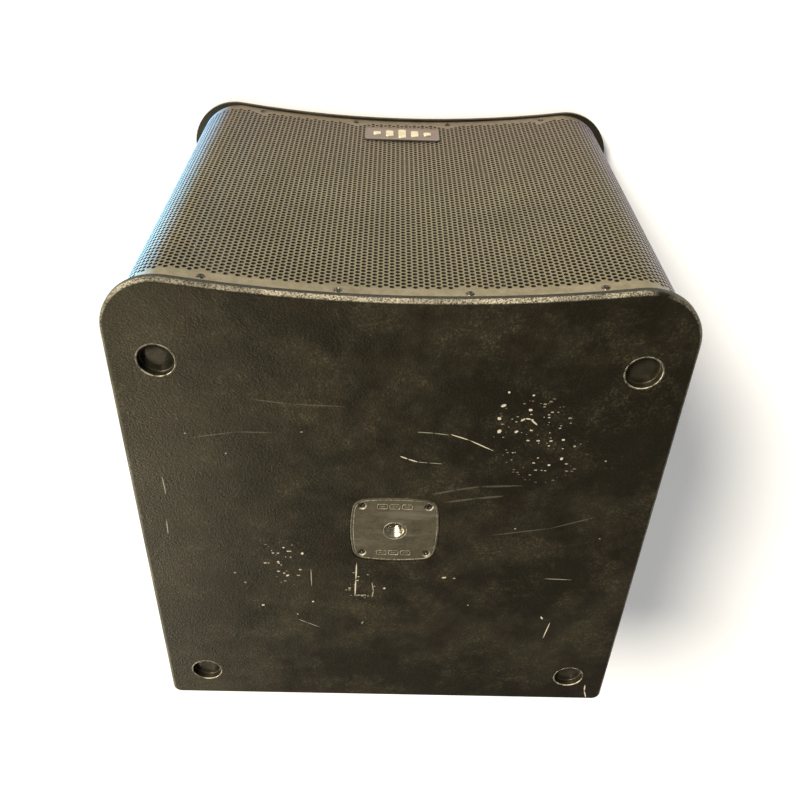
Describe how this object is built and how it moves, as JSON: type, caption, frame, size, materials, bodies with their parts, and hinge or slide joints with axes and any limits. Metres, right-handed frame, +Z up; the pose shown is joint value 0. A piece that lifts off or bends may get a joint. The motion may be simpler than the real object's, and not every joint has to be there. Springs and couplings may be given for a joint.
{
  "type": "powered subwoofer",
  "caption": "Box loudspeaker for low notes: concave perforated grille that wraps round the corners, recessed pole socket, stacking cups, side handles and a rear amplifier panel.",
  "frame": {"origin": "on the floor under the middle of the cabinet's box, at the level of the feet", "axes": "+Z up towards the pole socket, -Y towards the grille, +Y towards the amplifier panel, +X to the right as seen from the front"},
  "size_m": [0.62, 0.682, 0.552],
  "materials": {
    "cabinet_paint": "matte",
    "inner_ply": "matte",
    "raw_ply": "matte",
    "grille_steel": "satin",
    "black_screws": "satin",
    "zinc_screws": "satin",
    "badge_plate": "satin",
    "badge_metal": "polished",
    "pole_plate": "satin",
    "cup_plastic": "matte",
    "foot_rubber": "matte",
    "pan_plastic": "matte",
    "grip_rubber": "matte",
    "basket_cast": "satin",
    "cone_paper": "matte",
    "surround_cloth": "matte",
    "spider_cloth": "matte",
    "former_film": "satin",
    "coil_copper": "satin",
    "motor_steel": "satin",
    "ferrite": "matte",
    "terminal_plastic": "matte",
    "panel_sheet": "satin",
    "chassis_steel": "satin",
    "sink_aluminium": "satin",
    "board_laminate": "satin",
    "capacitor_sleeve": "gloss",
    "transformer_wrap": "satin",
    "socket_plastic": "satin",
    "latch_metal": "satin",
    "rocker_plastic": "gloss",
    "knob_plastic": "matte",
    "light_lens": "gloss",
    "fan_plastic": "matte",
    "guard_wire": "polished"
  },
  "bodies": {
    "cabinet": {"top_panel": "cabinet_paint", "bottom_panel": "cabinet_paint", "side_panel_left": "cabinet_paint", "side_panel_right": "cabinet_paint", "rear_panel": "cabinet_paint", "front_baffle": "inner_ply", "port_wall": "inner_ply", "window_brace": "raw_ply", "grille_rail_top": "inner_ply", "grille_rail_bottom": "inner_ply", "grille": "grille_steel", "grille_screws": "black_screws", "badge": "badge_plate", "badge_mark": "badge_metal", "pole_mount_plate": "pole_plate", "pole_mount_screws": "black_screws", "stacking_cups": "cup_plastic", "rubber_feet": "foot_rubber", "foot_screws": "zinc_screws", "handle_pan_left": "pan_plastic", "handle_pan_right": "pan_plastic", "handle_grip_left": "grip_rubber", "handle_grip_right": "grip_rubber", "handle_screws": "black_screws", "driver_basket": "basket_cast", "driver_gasket": "surround_cloth", "driver_screws": "black_screws", "surround": "surround_cloth", "spider": "spider_cloth", "front_plate": "motor_steel", "magnet": "ferrite", "back_plate": "motor_steel", "driver_terminals": "terminal_plastic", "amp_panel": "panel_sheet", "amp_screws": "black_screws", "amp_chassis": "chassis_steel", "heat_sink": "sink_aluminium", "main_board": "board_laminate", "capacitors": "capacitor_sleeve", "transformer": "transformer_wrap", "input_sockets": "socket_plastic", "output_sockets": "socket_plastic", "mains_inlet": "socket_plastic", "switch_bezel": "socket_plastic", "potentiometers": "socket_plastic", "polarity_switch": "socket_plastic", "status_lights": "light_lens", "fan_frame": "fan_plastic", "fan_guard": "guard_wire"},
    "cone_assembly": {"cone": "cone_paper", "dust_cap": "cone_paper", "coil_former": "former_film", "coil_winding": "coil_copper"},
    "power_rocker": {"power_rocker": "rocker_plastic"},
    "gain_knob": {"gain_knob": "knob_plastic"},
    "crossover_knob": {"crossover_knob": "knob_plastic"},
    "polarity_slider": {"polarity_slider": "knob_plastic"},
    "latch_one": {"latch_input_one": "latch_metal"},
    "latch_two": {"latch_input_two": "latch_metal"},
    "fan_rotor": {"fan_impeller": "fan_plastic"}
  },
  "joints": [
    {"name": "cone_travel", "type": "slide", "parent": "cabinet", "child": "cone_assembly", "axis": [0, 1, 0], "range_m": [-0.01, 0.01], "stiffness_N_per_m": 12000, "deforming": ["surround", "spider"]},
    {"name": "power_tip", "type": "hinge", "parent": "cabinet", "child": "power_rocker", "pos_m": [0.04, 0.321, 0.167], "axis": [1, 0, 0], "range_deg": [0, 16]},
    {"name": "gain_turn", "type": "hinge", "parent": "cabinet", "child": "gain_knob", "pos_m": [0.06, 0.321, 0.397], "axis": [0, 1, 0], "range_deg": [-150, 150]},
    {"name": "crossover_turn", "type": "hinge", "parent": "cabinet", "child": "crossover_knob", "pos_m": [0.11, 0.321, 0.397], "axis": [0, 1, 0], "range_deg": [-150, 150]},
    {"name": "polarity_slide", "type": "slide", "parent": "cabinet", "child": "polarity_slider", "axis": [1, 0, 0], "range_m": [0, 0.0044]},
    {"name": "latch_one_push", "type": "slide", "parent": "cabinet", "child": "latch_one", "axis": [0, -1, 0], "range_m": [0, 0.0025], "stiffness_N_per_m": 800},
    {"name": "latch_two_push", "type": "slide", "parent": "cabinet", "child": "latch_two", "axis": [0, -1, 0], "range_m": [0, 0.0025], "stiffness_N_per_m": 800},
    {"name": "fan_spin", "type": "hinge", "parent": "cabinet", "child": "fan_rotor", "pos_m": [-0.08, 0.312, 0.167], "axis": [0, 1, 0], "continuous": true}
  ]
}
